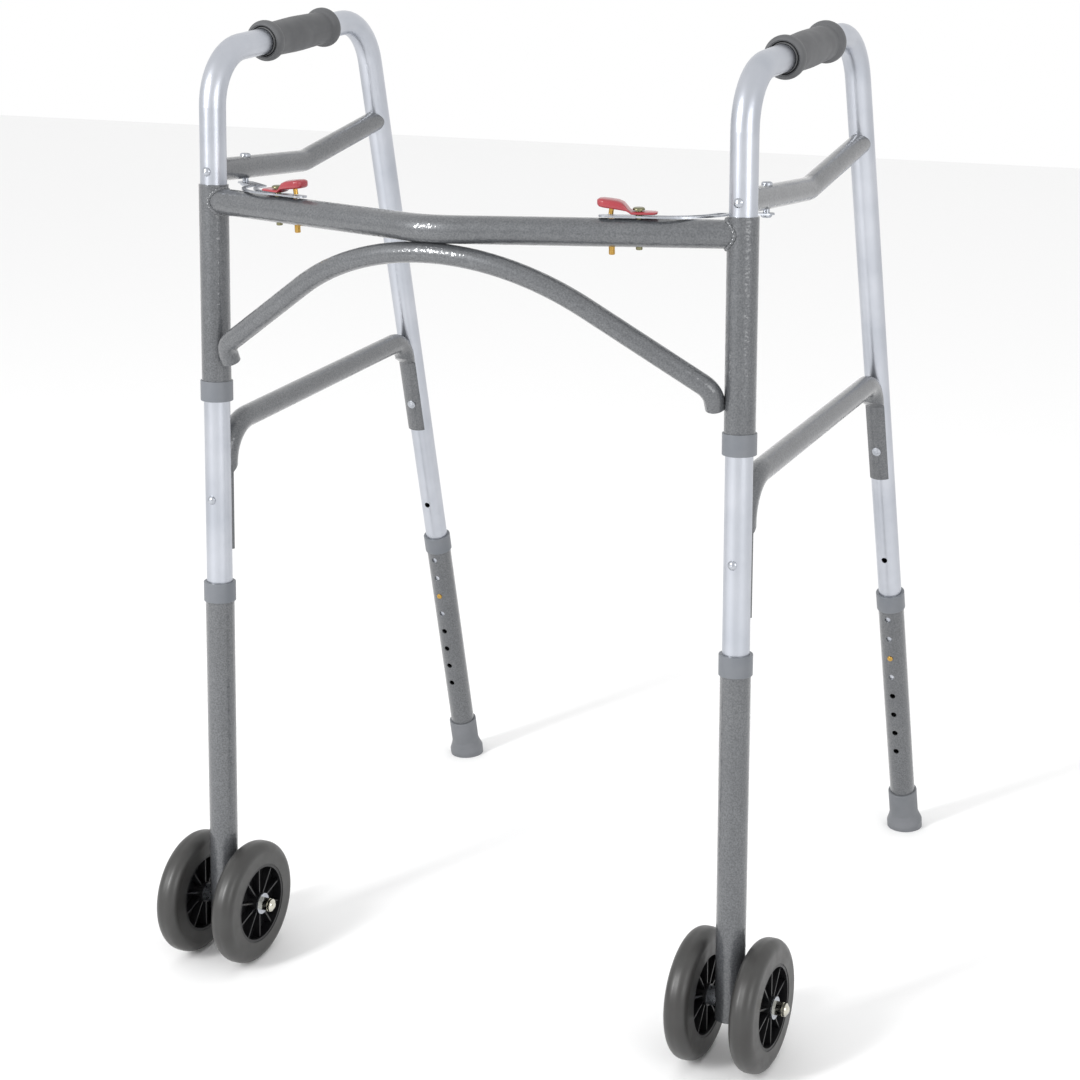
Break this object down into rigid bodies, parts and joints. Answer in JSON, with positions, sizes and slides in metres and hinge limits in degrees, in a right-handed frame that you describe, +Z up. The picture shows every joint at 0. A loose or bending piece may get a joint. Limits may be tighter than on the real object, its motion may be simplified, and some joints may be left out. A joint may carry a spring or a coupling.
{
  "type": "walking frame",
  "caption": "Folding walking frame with a bowed crossbar over an arch, swing-in side frames, red latch paddles, wheeled front legs and height-adjustable tube legs.",
  "frame": {"origin": "on the floor, below the middle of the frame: midway between the two side frames, 256 mm behind the wheel axles", "axes": "+X towards the side frame on the picture's right, +Y from the crossbar to the open side where the person stands, +Z up"},
  "size_m": [0.6757, 0.6404, 0.9527],
  "materials": {
    "powder_coat": "hammered grey powder coat",
    "anodised_tube": "satin anodised",
    "collar_plastic": "satin",
    "grip": "matt vinyl",
    "tip_rubber": "satin",
    "tyre": "satin",
    "hub": "satin",
    "zinc": "zinc plated",
    "nickel": "polished",
    "olive_zinc": "yellow zinc plated",
    "brass": "satin",
    "red_plastic": "gloss"
  },
  "bodies": {
    "front_frame": {"left_sleeve": "powder_coat", "right_sleeve": "powder_coat", "crossbar": "powder_coat", "arch_bar": "powder_coat", "left_sleeve_collar": "collar_plastic", "right_sleeve_collar": "collar_plastic", "left_latch_rivet": "olive_zinc", "right_latch_rivet": "olive_zinc"},
    "left_side": {"left_side_tube": "anodised_tube", "left_hand_grip": "grip", "left_upper_brace": "powder_coat", "left_lower_brace": "powder_coat", "left_brace_rivets": "zinc", "left_link_pivot": "zinc", "left_leg_clips": "zinc"},
    "left_link": {"left_fold_link": "zinc"},
    "left_paddle": {"left_latch_paddle": "red_plastic", "left_latch_stud": "brass"},
    "left_pin": {"left_lock_pin": "brass"},
    "left_front_slider": {"left_front_leg": "powder_coat", "left_front_leg_collar": "collar_plastic", "left_axle_bolt": "zinc", "left_axle_nut": "nickel", "left_axle_washers": "zinc", "left_wheel_spacers": "zinc"},
    "left_front_snap": {"left_front_button": "brass"},
    "left_outer_wheel": {"left_outer_wheel_tyre": "tyre", "left_outer_wheel_hub": "hub"},
    "left_inner_wheel": {"left_inner_wheel_tyre": "tyre", "left_inner_wheel_hub": "hub"},
    "left_rear_slider": {"left_rear_leg": "powder_coat", "left_rear_leg_collar": "collar_plastic", "left_rear_tip": "tip_rubber"},
    "left_rear_snap": {"left_rear_button": "brass"},
    "right_side": {"right_side_tube": "anodised_tube", "right_hand_grip": "grip", "right_upper_brace": "powder_coat", "right_lower_brace": "powder_coat", "right_brace_rivets": "zinc", "right_link_pivot": "zinc", "right_leg_clips": "zinc"},
    "right_link": {"right_fold_link": "zinc"},
    "right_paddle": {"right_latch_paddle": "red_plastic", "right_latch_stud": "brass"},
    "right_pin": {"right_lock_pin": "brass"},
    "right_front_slider": {"right_front_leg": "powder_coat", "right_front_leg_collar": "collar_plastic", "right_axle_bolt": "zinc", "right_axle_nut": "nickel", "right_axle_washers": "zinc", "right_wheel_spacers": "zinc"},
    "right_front_snap": {"right_front_button": "brass"},
    "right_outer_wheel": {"right_outer_wheel_tyre": "tyre", "right_outer_wheel_hub": "hub"},
    "right_inner_wheel": {"right_inner_wheel_tyre": "tyre", "right_inner_wheel_hub": "hub"},
    "right_rear_slider": {"right_rear_leg": "powder_coat", "right_rear_leg_collar": "collar_plastic", "right_rear_tip": "tip_rubber"},
    "right_rear_snap": {"right_rear_button": "brass"}
  },
  "joints": [
    {"name": "left_fold", "type": "hinge", "parent": "front_frame", "child": "left_side", "pos_m": [-0.27508, -0.21903, 0.59261], "axis": [-0.0131, -0.0698, -0.9975], "range_deg": [0, 80]},
    {"name": "left_link_swing", "type": "hinge", "parent": "left_side", "child": "left_link", "pos_m": [-0.27339, -0.1489, 0.79282], "axis": [-0.0131, -0.0698, -0.9975], "range_deg": [-80, 0]},
    {"name": "left_paddle_press", "type": "hinge", "parent": "front_frame", "child": "left_paddle", "pos_m": [-0.1842, -0.22966, 0.8014], "axis": [0.262, 0.9651, 0], "range_deg": [0, 8], "stiffness_Nm_per_rad": 1.2, "springref_deg": -11.46},
    {"name": "left_pin_drop", "type": "slide", "parent": "front_frame", "child": "left_pin", "axis": [0, 0, -1], "range_m": [0, 0.0036]},
    {"name": "left_front_height", "type": "slide", "parent": "left_side", "child": "left_front_slider", "axis": [0.0131, 0.0698, 0.9975], "range_m": [-0.0254, 0.0254]},
    {"name": "left_front_button_press", "type": "slide", "parent": "left_front_slider", "child": "left_front_snap", "axis": [0.0175, -0.9974, 0.0695], "range_m": [0, 0.0015], "stiffness_N_per_m": 1500, "springref_m": -0.001},
    {"name": "left_outer_wheel_spin", "type": "hinge", "parent": "left_front_slider", "child": "left_outer_wheel", "pos_m": [-0.31459, -0.25654, 0.06441], "axis": [0.9998, 0.0166, -0.0142], "continuous": true},
    {"name": "left_inner_wheel_spin", "type": "hinge", "parent": "left_front_slider", "child": "left_inner_wheel", "pos_m": [-0.24941, -0.25546, 0.06348], "axis": [0.9998, 0.0166, -0.0142], "continuous": true},
    {"name": "left_rear_height", "type": "slide", "parent": "left_side", "child": "left_rear_slider", "axis": [0.0175, -0.213, 0.9769], "range_m": [-0.0508, 0.127]},
    {"name": "left_rear_button_press", "type": "slide", "parent": "left_rear_slider", "child": "left_rear_snap", "axis": [-0.0132, 0.9769, 0.2132], "range_m": [0, 0.0015], "stiffness_N_per_m": 1500, "springref_m": -0.001},
    {"name": "right_fold", "type": "hinge", "parent": "front_frame", "child": "right_side", "pos_m": [0.27508, -0.21903, 0.59261], "axis": [-0.0131, 0.0698, 0.9975], "range_deg": [0, 55]},
    {"name": "right_link_swing", "type": "hinge", "parent": "right_side", "child": "right_link", "pos_m": [0.27339, -0.1489, 0.79282], "axis": [-0.0131, 0.0698, 0.9975], "range_deg": [-55, 0]},
    {"name": "right_paddle_press", "type": "hinge", "parent": "front_frame", "child": "right_paddle", "pos_m": [0.1842, -0.22966, 0.8014], "axis": [0.262, -0.9651, 0], "range_deg": [0, 8], "stiffness_Nm_per_rad": 1.2, "springref_deg": -11.46},
    {"name": "right_pin_drop", "type": "slide", "parent": "front_frame", "child": "right_pin", "axis": [0, 0, -1], "range_m": [0, 0.0036]},
    {"name": "right_front_height", "type": "slide", "parent": "right_side", "child": "right_front_slider", "axis": [-0.0131, 0.0698, 0.9975], "range_m": [-0.0254, 0.0254]},
    {"name": "right_front_button_press", "type": "slide", "parent": "right_front_slider", "child": "right_front_snap", "axis": [-0.0175, -0.9974, 0.0695], "range_m": [0, 0.0015], "stiffness_N_per_m": 1500, "springref_m": -0.001},
    {"name": "right_outer_wheel_spin", "type": "hinge", "parent": "right_front_slider", "child": "right_outer_wheel", "pos_m": [0.31459, -0.25654, 0.06441], "axis": [0.9998, -0.0166, 0.0142], "continuous": true},
    {"name": "right_inner_wheel_spin", "type": "hinge", "parent": "right_front_slider", "child": "right_inner_wheel", "pos_m": [0.24941, -0.25546, 0.06348], "axis": [0.9998, -0.0166, 0.0142], "continuous": true},
    {"name": "right_rear_height", "type": "slide", "parent": "right_side", "child": "right_rear_slider", "axis": [-0.0175, -0.213, 0.9769], "range_m": [-0.0508, 0.127]},
    {"name": "right_rear_button_press", "type": "slide", "parent": "right_rear_slider", "child": "right_rear_snap", "axis": [0.0132, 0.9769, 0.2132], "range_m": [0, 0.0015], "stiffness_N_per_m": 1500, "springref_m": -0.001}
  ],
  "couplings": [
    {"joint": "left_link_swing", "follows": "left_fold", "ratio": -1},
    {"joint": "left_pin_drop", "follows": "left_paddle_press", "m_per_rad": 0.024272},
    {"joint": "right_link_swing", "follows": "right_fold", "ratio": -1},
    {"joint": "right_pin_drop", "follows": "right_paddle_press", "m_per_rad": 0.024272}
  ]
}
